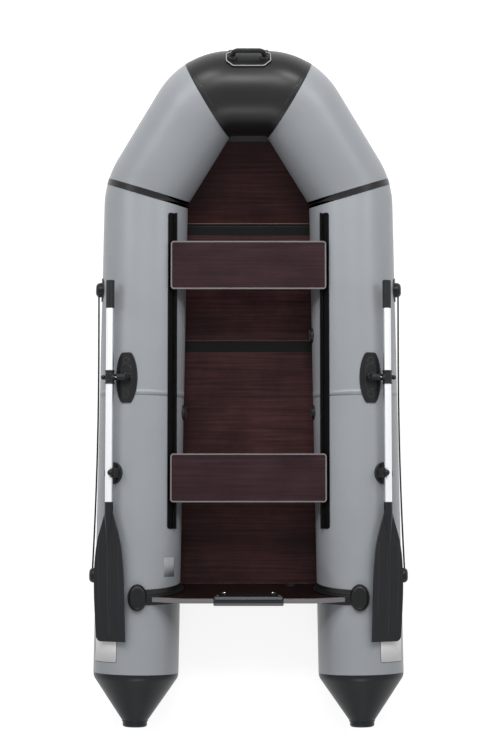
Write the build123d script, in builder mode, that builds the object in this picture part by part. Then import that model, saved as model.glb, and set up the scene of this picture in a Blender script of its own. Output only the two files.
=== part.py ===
from build123d import *
import os
from math import acos, atan2, cos, degrees, pi, radians, sin, sqrt, tan

# Inflatable motor dinghy: a horseshoe of air tubes round a sectional plywood floor, with a raked plywood
# transom, two sliding bench seats and a pair of oars stowed on the tubes.
#
# Millimetres. +X is starboard, +Y the bow, +Z up. The origin is on the ground under the middle of the boat.
# Port pieces are modelled (X negative) and mirrored to starboard.

os.makedirs("parts", exist_ok=True)

# Hull
LENGTH = 3000
TUBE_R = 188.5
STERN_X, STERN_Y = 499, -1262       # where a side tube's centreline meets its cone
KNEE_X, KNEE_Y = 463, 889           # where it turns in towards the bow
BOW_X, BOW_RISE = 184.5, 151.5      # where it turns across the bow, and how far it has risen
BOW_Y = LENGTH / 2 - TUBE_R
BEND_R = 195                        # bend of the centreline at each turn
SEAM_WIDTH, SEAM_PROUD = 29, 1.2

# Cone at the stern end of each tube
CONE_LENGTH = STERN_Y + LENGTH / 2
CONE_SKIRT, CONE_SHOULDER_R = 16, 40
CONE_TIP_R, CONE_TIP_LENGTH, CONE_CAP_EDGE = 54, 22, 10

# Bottom and floor
SHEET_Z, SHEET_T = 41, 4
FLOOR_T = 12
FLOOR_Z = SHEET_Z + SHEET_T + FLOOR_T
BOTTOM_RISE_Y, BOTTOM_SLOPE = 760, 17
PANEL_ENDS = ((716, 228), (176, -306), (-358, -876))    # front, middle and stern panels
BOW_PANEL_Y = (774, 1130)
BOW_PANEL_STRAIGHT, BOW_PANEL_TIP = 62, 250
FLOOR_TUCK = 138                    # from a tube's centreline to the floor's edge
HINGE_T = 8

# Transom
RAKE = 9
TRANSOM_Y = -878                    # forward face at the floor's top
TRANSOM_T = 16
TRANSOM_TOP_Z, SHOULDER_Z = 412, 376
TRANSOM_FLAT, TRANSOM_HALF = 289, 424
EDGE_T, EDGE_DEPTH = 1.5, 12
PLATE_WIDTH, PLATE_PROUD, PLATE_CORNER = 304, 3, 12
PLATE_T, OUTER_PLATE_DEPTH, OUTER_PLATE_FOOT = 12, 210, 230
INNER_PLATE_T, INNER_PLATE_DEPTH, INNER_PLATE_FOOT = 12, 92, 250
PLATE_BOLTS = ((112, 335), (134, 393))      # half the spacing, height above the ground
BOLT_HEAD_R, BOLT_HEAD_T = 6, 4
DRAIN_X, DRAIN_Z = 190, 92
DRAIN_R, DRAIN_BORE_R, DRAIN_FLANGE_R, DRAIN_FLANGE_T = 16, 12, 24, 3
HOLDER_Y, HOLDER_TILT, HOLDER_FOOT_Z = -928, 3, 62
CHANNEL_H = 18
HOLDER_FLARE = ((16, CHANNEL_H), (25, 7), (42, 2))      # half-width, height above the tube
HOLDER_EDGE_T = 2
DOME_LENGTH, DOME_WIDTH, DOME_H, DOME_EDGE = 117, 86, 27, 21

# Seats and the rails that they slide on
SEAT_LENGTH, SEAT_DEPTH, SEAT_T = 688, 214, 12
SEAT_CORNER = 14
SEAT_Y = {"front": 535, "rear": -406}
SEAT_LIFT = 21.5                    # board's underside above the rail's bead
EDGING_T, EDGING_WIDTH = 1.5, 6
RAIL_Y = (-630, 772)
RAIL_X = (357, 325)                 # outer and inner edge of the rail's tape
RAIL_T, RAIL_CORNER, WEB_T = 2.5, 12, 2.4
BEAD_X, BEAD_R, BEAD_LIFT = 321, 4.5, 12.5
RUNNER_LENGTH, RUNNER_R, RUNNER_PLAY, SLOT_WIDTH = 190, 8.5, 1, 6.4
FOOT_WIDTH, FOOT_T = 31, 3

# Rowlocks and oars
ROWLOCK_Y, ROWLOCK_TILT = 33, 18.4
ROWLOCK_LENGTH, ROWLOCK_WIDTH, ROWLOCK_T, ROWLOCK_CORNER = 222, 100, 5, 12
ROWLOCK_OVAL = 246                  # length of the oval that the base's ends are cut from
RIB_LENGTH, RIB_WIDTH, RIB_T, RIB_H = 120, 52, 7, 6
RING_X, RING_R, RING_T = 74, 16, 5  # rings at the ends of the raised rib
HUB_R, HUB_H = 20, 22
STEM_R, STEM_FOOT, RUNNING = 8, 4, 0.08
LUG_FLANGE_T = 4
PIN_H, PIN_R, PIN_TAIL = 40, 4, 12
BOSS_R, BOSS_LENGTH, BOSS_REACH = 14.5, 40, 26
OAR_X = 609
SHAFT_R, SHAFT_WALL = 17, 1.6
COLLAR_Y, COLLAR_R = (3, 63), 21.5
COLLAR_SKIN, COLLAR_BOSS = 2, 5
COLLAR_GROOVE_R, COLLAR_GROOVES, COLLAR_GROOVE = 19.5, (-18, 18), 9
KNOB_R, KNOB_REACH = 10.5, 31
GRIP_Y, GRIP_R, GRIP_CAP, GRIP_EDGE = (338, 462), 19, 8, 3
GRIP_FLUTES, FLUTE_R, FLUTE_DEPTH = 10, 3, 1.2
BLADE_Y, BLADE_LENGTH, BLADE_T, BLADE_ROLL = -513, 605, 5, 30
BLADE_NECK, NECK_R, BLADE_CORNER = 30, 19, 24
BLADE_FLARE = ((71, 28), (157, 56), (244, 71), (330, 77), (420, 78))
BLADE_TIP_WIDTH = 150
BLADE_SPOON, BLADE_DIP = 190, 22    # where the blade starts to curve, and how far its tip dips
BLADE_RIBS = ((0, 7.5), (-52, 3.5), (52, 3.5))          # distance from the middle, radius
RIB_END, RIB_DIP_SHARE = 32, 0.87
REST_Y, REST_TILT = -386, 34
REST_LENGTH, REST_WIDTH, REST_T = 96, 87, 6
REST_GAP = 5                        # between the stowed shaft and its rest
SADDLE_HALF, SADDLE_LENGTH = 22, 40
POST_X = (26, 38)
BALL, BALL_R = (20, 32), 14
REST_RIM, REST_RIM_H, REST_RIM_INSET = 8, 11, 1.5
REST_TAB_REACH, REST_TAB_LENGTH = 56, 26

# Eyes for the grab lines
EYE_Y = {"front": 437, "rear": -838}
EYE_TILT = 82
EYE_LENGTH, EYE_WIDTH, EYE_T = 107, 90, 4
EYE_DOME_R, EYE_H, EYE_EDGE = 33, 29, 19
ROPE_D = 8
LINE_FILL = 0.45                    # share of the shorter run that each bend of the line takes up
GRAB_LINE = (
    (-673, 414, 214.5),
    (-673.3, 322, 206),
    (-673.4, 226, 198.3),
    (-673.6, 124, 191.6),
    (-674.0, 18, 186.3),
    (-674.9, -88, 182.6),
    (-676.2, -196, 180.6),
    (-678.1, -302, 180.4),
    (-680.4, -408, 182.2),
    (-683.2, -512, 185.9),
    (-686.4, -616, 191.5),
    (-689.9, -714, 198.8),
    (-693.3, -806, 207.4),
)

# Handle on the bow, and valves
HANDLE_TILT = 40                    # forward of the bow tube's top
HANDLE_LENGTH, HANDLE_WIDTH, HANDLE_T, HANDLE_CORNER = 200, 112, 5, 30
HANDLE_RIM, HANDLE_RIM_H = 6, 8
HANDLE_FOOT_X, HANDLE_FOOT_R, HANDLE_FOOT_H, HANDLE_FOOT_EDGE = 70, 22, 15, 5
HANDLE_H, HANDLE_BEND, HANDLE_GRIP_R = 42, 24, 10
VALVE_TILT = 84                     # measured inboard from the tube's top
VALVE_Y = {"side": -107, "bow": 240}
VALVE_R, VALVE_T, VALVE_DEPTH = 34, 4, 12
VALVE_CAP_R, VALVE_CAP_T, VALVE_CAP_EDGE, VALVE_RIB = 26, 7, 3, 3


def tube_x(y):
    """Distance of a side tube's centreline from the middle of the boat."""
    return KNEE_X + (STERN_X - KNEE_X) * (KNEE_Y - y) / (KNEE_Y - STERN_Y)


def centre_at(y):
    """Point on the port tube's centreline."""
    return Vector(-tube_x(y), y, TUBE_R)


STERN = centre_at(STERN_Y)
KNEE = centre_at(KNEE_Y)
BOW_PORT = Vector(-BOW_X, BOW_Y, TUBE_R + BOW_RISE)
BOW_STARBOARD = Vector(BOW_X, BOW_Y, TUBE_R + BOW_RISE)
FORWARD = (KNEE - STERN).normalized()
OUTBOARD = Vector(-FORWARD.Y, FORWARD.X, 0)
UP = Vector(0, 0, 1)


def on_port_tube(y, tilt, height=0.0, forward=FORWARD):
    """Plane on the port tube, tilt degrees outboard of its top: x runs forward, y outboard, z out of the tube."""
    outboard = Vector(-forward.Y, forward.X, 0)
    normal = UP * cos(radians(tilt)) + outboard * sin(radians(tilt))
    return Plane(origin=centre_at(y) + normal * (TUBE_R + height), x_dir=forward, z_dir=normal)


class Turn:
    """Arc that rounds one corner of the centreline."""

    def __init__(self, before, corner, after):
        into = (corner - before).normalized()
        out = (after - corner).normalized()
        self.angle = degrees(acos(into.dot(out)))
        reach = BEND_R * tan(radians(self.angle / 2))
        self.start = corner - into * reach
        self.end = corner + out * reach
        self.centre = corner + (out - into).normalized() * (BEND_R / cos(radians(self.angle / 2)))
        self.axis = Axis((0, 0, 0), into.cross(out))

    def point(self, share):
        """Point on the arc, where share runs from 0 at its start to 1 at its end."""
        return self.centre + (self.start - self.centre).rotate(self.axis, self.angle * share)

    def tangent(self, share):
        return self.axis.direction.cross(self.point(share) - self.centre).normalized()

    def draw(self, first, last):
        ThreePointArc(self.point(first), self.point((first + last) / 2), self.point(last))


knee = Turn(STERN, KNEE, BOW_PORT)
shoulder_port = Turn(KNEE, BOW_PORT, BOW_STARBOARD)
shoulder_starboard = Turn(BOW_PORT, BOW_STARBOARD, Vector(KNEE_X, KNEE_Y, TUBE_R))
MITRE = Plane(origin=knee.point(0.5), z_dir=knee.tangent(0.5))
SEAM_AFT, SEAM_FORE = MITRE.offset(-SEAM_WIDTH / 2), MITRE.offset(SEAM_WIDTH / 2)


def write(name, piece):
    piece.part.label = name
    export_step(piece.part, f"parts/{name}.step")


def write_pair(name, port):
    """Writes a port piece and its mirror image on the starboard side."""
    with BuildPart() as starboard:
        mirror(port.part, about=Plane.YZ)
    write(f"{name}_left", port)
    write(f"{name}_right", starboard)
    return starboard


def trim_to_layer(thickness, start=STERN, end=KNEE):
    """Trims the piece being built to a layer of this thickness on the tube whose centreline joins two points."""
    with BuildSketch(Plane(origin=start, z_dir=end - start)) as ring:
        Circle(TUBE_R + thickness)
        Circle(TUBE_R, mode=Mode.SUBTRACT)
    extrude(ring.sketch, amount=(end - start).length, mode=Mode.INTERSECT)


# ---------------------------------------------------------------- air tubes

with BuildPart() as side_tube:
    with BuildLine():
        Line(STERN, knee.start)
        knee.draw(0, 1)
    with BuildSketch(Plane(origin=STERN, z_dir=FORWARD)):
        Circle(TUBE_R)
    sweep()
    split(bisect_by=SEAM_AFT, keep=Keep.BOTTOM)
side_tube_starboard = write_pair("side_tube", side_tube)

# The band over the mitre has the same width all round.
with BuildPart() as seam_band:
    with BuildLine():
        approach = Line(knee.start - FORWARD * 2 * SEAM_WIDTH, knee.start)
        knee.draw(0, 1)
        Line(knee.end, knee.end + knee.tangent(1) * 2 * SEAM_WIDTH)
    with BuildSketch(Plane(origin=approach @ 0, z_dir=FORWARD)):
        Circle(TUBE_R + SEAM_PROUD)
    sweep()
    split(bisect_by=SEAM_AFT, keep=Keep.TOP)
    split(bisect_by=SEAM_FORE, keep=Keep.BOTTOM)
seam_band_starboard = write_pair("seam_band", seam_band)

with BuildPart() as bow_tube:
    with BuildLine():
        knee.draw(0, 1)
        Line(knee.end, shoulder_port.start)
        shoulder_port.draw(0, 0.5)
    with BuildSketch(Plane(origin=knee.start, z_dir=FORWARD)):
        Circle(TUBE_R)
    sweep()
    split(bisect_by=SEAM_FORE, keep=Keep.TOP)
bow_tube_starboard = write_pair("bow_tube", bow_tube)

with BuildPart() as bow_centre:
    with BuildLine():
        shoulder_port.draw(0.5, 1)
        Line(shoulder_port.end, shoulder_starboard.start)
        shoulder_starboard.draw(0, 0.5)
    with BuildSketch(Plane(origin=shoulder_port.point(0.5), z_dir=shoulder_port.tangent(0.5))):
        Circle(TUBE_R)
    sweep()
write("bow_tube_centre", bow_centre)

# The cone's profile: a short skirt, the flank, and the small moulded cap on its tip
with BuildPart() as stern_cone:
    with BuildSketch(Plane(origin=STERN, x_dir=OUTBOARD, z_dir=FORWARD.cross(OUTBOARD))):
        with BuildLine():
            base = Line((0, 0), (TUBE_R, 0))
            skirt = Line(base @ 1, (TUBE_R, CONE_SKIRT))
            flank = Line(skirt @ 1, (CONE_TIP_R, CONE_LENGTH - CONE_TIP_LENGTH))
            cap = Line(flank @ 1, (CONE_TIP_R, CONE_LENGTH))
            end = Line(cap @ 1, (0, CONE_LENGTH))
            Line(end @ 1, (0, 0))
        make_face()
        fillet(vertices().sort_by_distance(skirt @ 1)[0], CONE_SHOULDER_R)
        fillet(vertices().sort_by_distance(cap @ 1)[0], CONE_CAP_EDGE)
    revolve(axis=Axis(STERN, FORWARD))
write_pair("stern_cone", stern_cone)

TUBES = (side_tube, side_tube_starboard, seam_band, seam_band_starboard, bow_tube, bow_tube_starboard, bow_centre)


def clear_of_tubes(*tubes):
    """Cuts the piece being built where it meets the air tubes, so that it seats on them."""
    for tube in tubes:
        add(tube.part, mode=Mode.SUBTRACT)


# ---------------------------------------------------------------- fabric bottom and plywood floor

# The bottom is drawn out to the centrelines of the tubes and then cut back to their skins.
with BuildPart() as hull_bottom:
    with BuildSketch(Plane.YZ):
        with BuildLine():
            rise = BOW_Y - BOTTOM_RISE_Y
            Polyline(
                (TRANSOM_Y - TRANSOM_T, SHEET_Z),
                (BOTTOM_RISE_Y, SHEET_Z),
                (BOW_Y, SHEET_Z + rise * tan(radians(BOTTOM_SLOPE))),
            )
            offset(amount=SHEET_T, side=Side.LEFT)
        make_face()
    extrude(amount=KNEE_X + TUBE_R, both=True)
    with BuildSketch():
        with BuildLine():
            Polyline(
                (-tube_x(TRANSOM_Y), TRANSOM_Y - TRANSOM_T),
                (-KNEE_X, KNEE_Y),
                (-BOW_X, BOW_Y),
                (BOW_X, BOW_Y),
                (KNEE_X, KNEE_Y),
                (tube_x(TRANSOM_Y), TRANSOM_Y - TRANSOM_T),
                close=True,
            )
        make_face()
    extrude(amount=TUBE_R * 2, mode=Mode.INTERSECT)
    clear_of_tubes(*TUBES)
write("hull_bottom", hull_bottom)

for name, (front, back) in zip(("front", "middle", "stern"), PANEL_ENDS):
    with BuildPart() as panel:
        with BuildSketch(Plane.XY.offset(SHEET_Z + SHEET_T)):
            with BuildLine():
                Polyline(
                    (FLOOR_TUCK - tube_x(back), back),
                    (FLOOR_TUCK - tube_x(front), front),
                    (tube_x(front) - FLOOR_TUCK, front),
                    (tube_x(back) - FLOOR_TUCK, back),
                    close=True,
                )
            make_face()
        extrude(amount=FLOOR_T)
    write(f"floor_panel_{name}", panel)

# The bow panel lies on the rising part of the bottom and narrows between the bow tubes.
slope = Plane(
    origin=(0, BOTTOM_RISE_Y, SHEET_Z),
    x_dir=(1, 0, 0),
    z_dir=(0, -sin(radians(BOTTOM_SLOPE)), cos(radians(BOTTOM_SLOPE))),
).offset(SHEET_T)
with BuildPart() as bow_panel:
    back, front = ((y - BOTTOM_RISE_Y) / cos(radians(BOTTOM_SLOPE)) for y in BOW_PANEL_Y)
    half_back = tube_x(BOW_PANEL_Y[0]) - FLOOR_TUCK
    with BuildSketch(slope):
        with BuildLine():
            Polyline(
                (-half_back, back),
                (-half_back, back + BOW_PANEL_STRAIGHT),
                (-BOW_PANEL_TIP / 2, front),
                (BOW_PANEL_TIP / 2, front),
                (half_back, back + BOW_PANEL_STRAIGHT),
                (half_back, back),
                close=True,
            )
        make_face()
    extrude(amount=FLOOR_T)
    clear_of_tubes(*TUBES)
write("floor_panel_bow", bow_panel)

# Fabric hinges between neighbouring panels, let in below their tops
with BuildPart() as floor_hinges:
    edges_of_gaps = ((PANEL_ENDS[1][0], PANEL_ENDS[0][1]), (PANEL_ENDS[2][0], PANEL_ENDS[1][1]))
    for back, front in edges_of_gaps:
        with BuildSketch(Plane.XY.offset(SHEET_Z + SHEET_T)):
            with Locations((0, (back + front) / 2)):
                Rectangle(2 * (tube_x(back) - FLOOR_TUCK), front - back)
        extrude(amount=HINGE_T)
    with BuildSketch(Plane.XY.offset(SHEET_Z + SHEET_T)):
        with Locations((0, (PANEL_ENDS[0][0] + BOTTOM_RISE_Y - SHEET_T) / 2)):
            Rectangle(2 * (tube_x(PANEL_ENDS[0][0]) - FLOOR_TUCK), BOTTOM_RISE_Y - SHEET_T - PANEL_ENDS[0][0])
    extrude(amount=HINGE_T)
write("floor_hinges", floor_hinges)

# ---------------------------------------------------------------- transom

LEAN = Vector(0, -sin(radians(RAKE)), cos(radians(RAKE)))
BACKWARD = Vector(0, -cos(radians(RAKE)), -sin(radians(RAKE)))


def on_transom(depth=0.0):
    """Plane of the transom, depth behind its forward face: x to starboard, y up the board, z aft."""
    return Plane(origin=Vector(0, TRANSOM_Y, FLOOR_Z) + BACKWARD * depth, x_dir=(1, 0, 0), z_dir=BACKWARD)


def up_board(z):
    """Height z above the ground, measured up the raked board."""
    return (z - FLOOR_Z) / cos(radians(RAKE))


with BuildPart() as transom_board:
    with BuildSketch(on_transom()):
        with BuildLine():
            Polyline(
                (-TRANSOM_HALF, up_board(SHEET_Z)),
                (-TRANSOM_HALF, up_board(SHOULDER_Z)),
                (-TRANSOM_FLAT, up_board(TRANSOM_TOP_Z)),
                (TRANSOM_FLAT, up_board(TRANSOM_TOP_Z)),
                (TRANSOM_HALF, up_board(SHOULDER_Z)),
                (TRANSOM_HALF, up_board(SHEET_Z)),
                close=True,
            )
        make_face()
    extrude(amount=TRANSOM_T)
    clear_of_tubes(side_tube, side_tube_starboard)
    with BuildSketch(Plane.XY):
        Rectangle(3 * TRANSOM_HALF, LENGTH)
    extrude(amount=SHEET_Z + SHEET_T, mode=Mode.SUBTRACT)
    with Locations(on_transom()):
        with Locations((DRAIN_X, up_board(DRAIN_Z))):
            Hole(DRAIN_R)
write("transom_board", transom_board)

# Grey edging folded over the board's top, which stops each side of the motor plates
with BuildPart() as transom_edge:
    with BuildSketch(on_transom(-EDGE_T)):
        with BuildLine():
            top = Polyline(
                (-TRANSOM_HALF, up_board(SHOULDER_Z)),
                (-TRANSOM_FLAT, up_board(TRANSOM_TOP_Z)),
                (-PLATE_WIDTH / 2, up_board(TRANSOM_TOP_Z)),
            )
            offset(amount=EDGE_T, side=Side.LEFT)
        make_face()
        with BuildLine():
            Polyline(
                (-TRANSOM_HALF, up_board(SHOULDER_Z)),
                (-TRANSOM_FLAT, up_board(TRANSOM_TOP_Z)),
                (-PLATE_WIDTH / 2, up_board(TRANSOM_TOP_Z)),
            )
            offset(amount=EDGE_DEPTH, side=Side.RIGHT)
        make_face()
    extrude(amount=TRANSOM_T + 2 * EDGE_T)
    mirror(about=Plane.YZ)
    add(transom_board.part, mode=Mode.SUBTRACT)
    clear_of_tubes(side_tube, side_tube_starboard)
write("transom_edge", transom_edge)

plate_top = up_board(TRANSOM_TOP_Z + PLATE_PROUD)
with BuildPart() as motor_plate_outer:
    with BuildSketch(on_transom(TRANSOM_T)):
        with BuildLine():
            Polyline(
                (-PLATE_WIDTH / 2, plate_top),
                (-PLATE_WIDTH / 2, plate_top - OUTER_PLATE_DEPTH * 0.55),
                (-OUTER_PLATE_FOOT / 2, plate_top - OUTER_PLATE_DEPTH),
                (OUTER_PLATE_FOOT / 2, plate_top - OUTER_PLATE_DEPTH),
                (PLATE_WIDTH / 2, plate_top - OUTER_PLATE_DEPTH * 0.55),
                (PLATE_WIDTH / 2, plate_top),
                close=True,
            )
        make_face()
        fillet(vertices().group_by(Axis.Z)[0], PLATE_CORNER)
    extrude(amount=PLATE_T)
write("motor_plate_outer", motor_plate_outer)

with BuildPart() as motor_plate_inner:
    with BuildSketch(on_transom()):
        with BuildLine():
            Polyline(
                (-PLATE_WIDTH / 2, plate_top),
                (-INNER_PLATE_FOOT / 2, plate_top - INNER_PLATE_DEPTH),
                (INNER_PLATE_FOOT / 2, plate_top - INNER_PLATE_DEPTH),
                (PLATE_WIDTH / 2, plate_top),
                close=True,
            )
        make_face()
        fillet(vertices().group_by(Axis.Z)[0], PLATE_CORNER)
    extrude(amount=-INNER_PLATE_T)
    for half_width, z in PLATE_BOLTS:
        with BuildSketch(on_transom(-INNER_PLATE_T)):
            with Locations((-half_width, up_board(z)), (half_width, up_board(z))):
                Circle(BOLT_HEAD_R)
        extrude(amount=-BOLT_HEAD_T)
write("motor_plate_inner", motor_plate_inner)

with BuildPart() as drain_valve:
    with BuildSketch(on_transom(-DRAIN_FLANGE_T)):
        with Locations((DRAIN_X, up_board(DRAIN_Z))):
            Circle(DRAIN_FLANGE_R)
    extrude(amount=DRAIN_FLANGE_T)
    with BuildSketch(on_transom()):
        with Locations((DRAIN_X, up_board(DRAIN_Z))):
            Circle(DRAIN_R)
    extrude(amount=TRANSOM_T)
    with BuildSketch(on_transom(TRANSOM_T)):
        with Locations((DRAIN_X, up_board(DRAIN_Z))):
            Circle(DRAIN_FLANGE_R)
    extrude(amount=DRAIN_FLANGE_T)
    with BuildSketch(on_transom(-DRAIN_FLANGE_T)):
        with Locations((DRAIN_X, up_board(DRAIN_Z))):
            Circle(DRAIN_BORE_R)
    extrude(amount=TRANSOM_T + 2 * DRAIN_FLANGE_T, mode=Mode.SUBTRACT)
write("drain_valve", drain_valve)

# Moulded holders: wings glued to the tube flare up into a channel that grips the board's edge, under a domed end
with BuildPart() as dome:
    with BuildSketch(on_port_tube(HOLDER_Y, -HOLDER_TILT, -DOME_H)):
        Ellipse(DOME_LENGTH / 2, DOME_WIDTH / 2)
    extrude(amount=2 * DOME_H)
    fillet(faces().sort_by(Axis.Z)[-1].edges(), DOME_EDGE)

with BuildPart() as transom_holder:
    ring_centre = (-tube_x(HOLDER_Y), up_board(TUBE_R))
    with BuildSketch(on_transom(TRANSOM_T / 2)):
        with Locations(ring_centre):
            Circle(TUBE_R + CHANNEL_H)
    extrude(amount=HOLDER_FLARE[0][0], both=True)
    for (inner, high), (outer, low) in zip(HOLDER_FLARE, HOLDER_FLARE[1:]):
        for side in (1, -1):
            with BuildSketch(on_transom(TRANSOM_T / 2 + side * inner)):
                with Locations(ring_centre):
                    Circle(TUBE_R + high)
            extrude(amount=side * (outer - inner), taper=degrees(atan2(high - low, outer - inner)))
    with BuildSketch(on_transom(TRANSOM_T / 2)):
        with Locations((ring_centre[0] + CHANNEL_H, up_board(HOLDER_FOOT_Z))):
            Rectangle(2 * TUBE_R, 2 * TUBE_R, align=Align.MIN)
    extrude(amount=TUBE_R, both=True, mode=Mode.INTERSECT)
    add(dome.part)
    clear_of_tubes(side_tube)
    for piece in (transom_board, transom_edge):
        add(piece.part, mode=Mode.SUBTRACT)
write_pair("transom_holder", transom_holder)

# ---------------------------------------------------------------- seat rails and seats


def bead_at(y):
    """Centre of the port rail's bead, which stands BEAD_LIFT off the tube."""
    across = tube_x(y) - BEAD_X
    return Vector(-BEAD_X, y, TUBE_R + sqrt((TUBE_R + BEAD_LIFT) ** 2 - across**2))


BEAD_START, BEAD_END = (bead_at(y) for y in RAIL_Y)
SLIDE = (BEAD_END - BEAD_START).normalized()
OFF_RAILS = Vector(0, -SLIDE.Z, SLIDE.Y)


def along_rails(y):
    """Point amidships, level with the beads, at y."""
    return Vector(0, BEAD_START.Y, BEAD_START.Z) + SLIDE * ((y - BEAD_START.Y) / SLIDE.Y)


# Each rail is a tape glued to the tube with a bead on a web along its inner edge.
with BuildPart() as seat_rail:
    with BuildSketch(Plane.XY.offset(TUBE_R)):
        with Locations((-sum(RAIL_X) / 2, sum(RAIL_Y) / 2)):
            RectangleRounded(RAIL_X[0] - RAIL_X[1], RAIL_Y[1] - RAIL_Y[0], RAIL_CORNER)
    extrude(amount=TUBE_R + BEAD_LIFT)
    trim_to_layer(RAIL_T)
    for y in RAIL_Y:
        out = (bead_at(y) - centre_at(y)).normalized()
        with BuildSketch(Plane(origin=bead_at(y), x_dir=out, z_dir=out.cross(SLIDE.cross(out)))):
            with Locations((-BEAD_LIFT / 2, 0)):
                Rectangle(BEAD_LIFT, WEB_T)
    loft(ruled=True)
    with BuildSketch(Plane(origin=BEAD_START, z_dir=SLIDE)):
        Circle(BEAD_R)
    extrude(amount=(BEAD_END - BEAD_START).length)
    clear_of_tubes(side_tube)
write_pair("seat_rail", seat_rail)

for name, y in SEAT_Y.items():
    underside = Plane(origin=along_rails(y) + OFF_RAILS * SEAT_LIFT, x_dir=(1, 0, 0), z_dir=OFF_RAILS)
    with BuildPart() as board:
        with BuildSketch(underside):
            RectangleRounded(SEAT_LENGTH - 2 * EDGING_T, SEAT_DEPTH - 2 * EDGING_T, SEAT_CORNER - EDGING_T)
        extrude(amount=SEAT_T)
    write(f"seat_{name}_board", board)

    with BuildPart() as edging:
        with BuildSketch(underside.offset(-EDGING_T)):
            RectangleRounded(SEAT_LENGTH, SEAT_DEPTH, SEAT_CORNER)
            RectangleRounded(
                SEAT_LENGTH - 2 * EDGING_WIDTH,
                SEAT_DEPTH - 2 * EDGING_WIDTH,
                SEAT_CORNER - EDGING_WIDTH,
                mode=Mode.SUBTRACT,
            )
        extrude(amount=SEAT_T + 2 * EDGING_T)
        add(board.part, mode=Mode.SUBTRACT)
    write(f"seat_{name}_edging", edging)

    # A runner is a C that rides on the bead, open towards the tube, with a foot under the board.
    to_tube = centre_at(y) - bead_at(y)
    section = Plane(origin=along_rails(y + RUNNER_LENGTH / 2), x_dir=(1, 0, 0), z_dir=SLIDE * -1)
    with BuildPart() as runners:
        with BuildSketch(section):
            with Locations((-BEAD_X, 0)):
                Circle(RUNNER_R)
                Rectangle(RUNNER_R * 1.5, SEAT_LIFT, align=(Align.CENTER, Align.MIN))
            with Locations((-BEAD_X, SEAT_LIFT)):
                Rectangle(FOOT_WIDTH, FOOT_T, align=(Align.CENTER, Align.MAX))
            with Locations((-BEAD_X, 0)):
                Circle(BEAD_R + RUNNER_PLAY, mode=Mode.SUBTRACT)
            with Locations(Location((-BEAD_X, 0, 0), (0, 0, degrees(atan2(to_tube.Z, to_tube.X))))):
                Rectangle(2 * RUNNER_R, SLOT_WIDTH, align=(Align.MIN, Align.CENTER), mode=Mode.SUBTRACT)
        extrude(amount=RUNNER_LENGTH)
        mirror(about=Plane.YZ)
    write(f"seat_{name}_runners", runners)

# ---------------------------------------------------------------- rowlocks

AHEAD = Vector(0, 1, 0)
ROWLOCK = on_port_tube(ROWLOCK_Y, ROWLOCK_TILT, forward=AHEAD)
PIVOT = ROWLOCK.offset(PIN_H).origin
PIN = ROWLOCK.y_dir
OAR_REACH = (-OAR_X - PIVOT.X) / PIN.X
OAR = PIVOT + PIN * OAR_REACH


def facing(origin, direction):
    """Plane at origin that faces along direction, its x axis forward."""
    return Plane(origin=origin, x_dir=AHEAD, z_dir=direction)


def oar_plane(y):
    """Plane across the oar at y: x to starboard, z aft."""
    return Plane(origin=(OAR.X, y, OAR.Z), x_dir=(1, 0, 0), z_dir=(0, -1, 0))


with BuildPart() as rowlock_base:
    with BuildSketch(ROWLOCK):
        Ellipse(ROWLOCK_OVAL / 2, ROWLOCK_WIDTH / 2)
        Rectangle(ROWLOCK_LENGTH, ROWLOCK_WIDTH, mode=Mode.INTERSECT)
        fillet(vertices(), ROWLOCK_CORNER)
    extrude(amount=ROWLOCK_WIDTH / 2, both=True)
    trim_to_layer(ROWLOCK_T)
    with BuildSketch(ROWLOCK):
        SlotOverall(RIB_LENGTH, RIB_WIDTH)
        SlotOverall(RIB_LENGTH - 2 * RIB_T, RIB_WIDTH - 2 * RIB_T, mode=Mode.SUBTRACT)
    extrude(amount=RIB_H)
    with BuildSketch(ROWLOCK):
        with Locations((-RING_X, 0), (RING_X, 0)):
            Circle(RING_R)
            Circle(RING_R - RING_T, mode=Mode.SUBTRACT)
    extrude(amount=RIB_H)
    with BuildSketch(ROWLOCK):
        Circle(HUB_R)
    extrude(amount=HUB_H)
    clear_of_tubes(side_tube)
    with BuildSketch(ROWLOCK.offset(STEM_FOOT)):
        Circle(STEM_R + RUNNING)
    extrude(amount=HUB_H, mode=Mode.SUBTRACT)
write_pair("rowlock_base", rowlock_base)

with BuildPart() as rowlock_lug:
    with BuildSketch(ROWLOCK.offset(STEM_FOOT + 1)):
        Circle(STEM_R)
    extrude(amount=PIN_H - STEM_FOOT - 1)
    with BuildSketch(ROWLOCK.offset(HUB_H + 0.5)):
        Circle(HUB_R - 3)
    extrude(amount=LUG_FLANGE_T)
    with BuildSketch(facing(PIVOT - PIN * (BOSS_LENGTH - BOSS_REACH), PIN)):
        Circle(BOSS_R)
    extrude(amount=BOSS_LENGTH)
    with BuildSketch(facing(PIVOT - PIN * BOSS_LENGTH, PIN)):
        Circle(PIN_R + RUNNING)
    extrude(amount=2 * BOSS_LENGTH, mode=Mode.SUBTRACT)
write_pair("rowlock_lug", rowlock_lug)

# ---------------------------------------------------------------- oars

with BuildPart() as oar_pin:
    with BuildSketch(facing(PIVOT - PIN * PIN_TAIL, PIN)):
        Circle(PIN_R)
    extrude(amount=PIN_TAIL + OAR_REACH - SHAFT_R - COLLAR_SKIN)
write_pair("oar_pin", oar_pin)

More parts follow.
